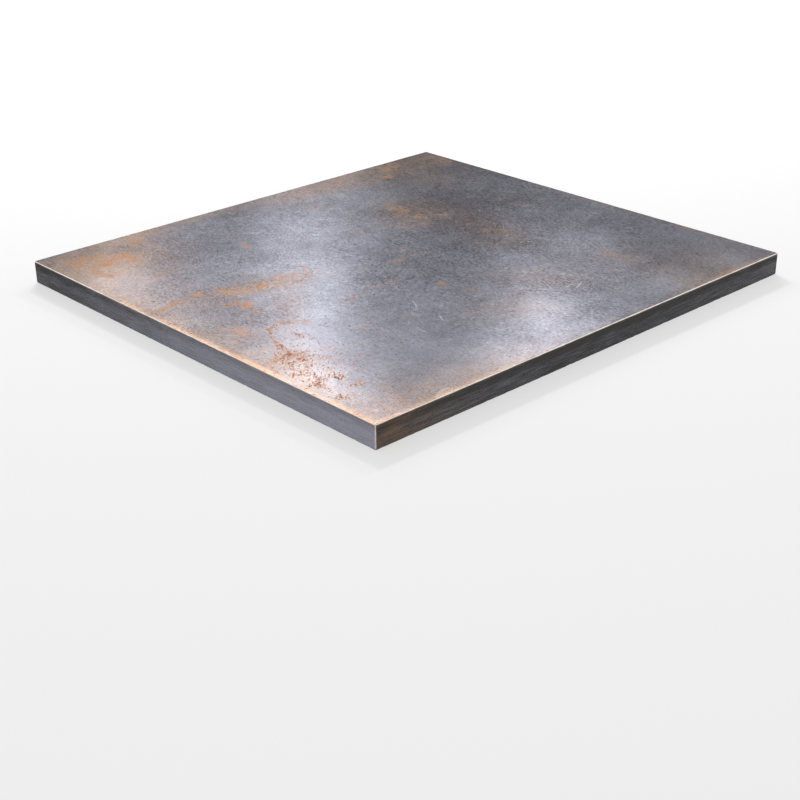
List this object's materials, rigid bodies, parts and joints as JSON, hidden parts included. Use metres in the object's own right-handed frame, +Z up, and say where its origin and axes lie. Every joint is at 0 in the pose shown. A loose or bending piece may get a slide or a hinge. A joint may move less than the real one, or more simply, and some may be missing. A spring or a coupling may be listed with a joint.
{
  "type": "steel plate",
  "caption": "Thick flat rectangular steel plate with square cut edges and slightly eased arrises; raw stock for cutting, welding, lining or base plates.",
  "frame": {"origin": "middle of the underside, the rolled face that the plate lies on", "axes": "+X along the plate's length, +Y across its width, +Z up through its thickness"},
  "size_m": [1.08, 1, 0.045],
  "materials": {
    "rolled_steel": "satin"
  },
  "bodies": {
    "root": {"steel_plate": "rolled_steel"}
  },
  "joints": []
}
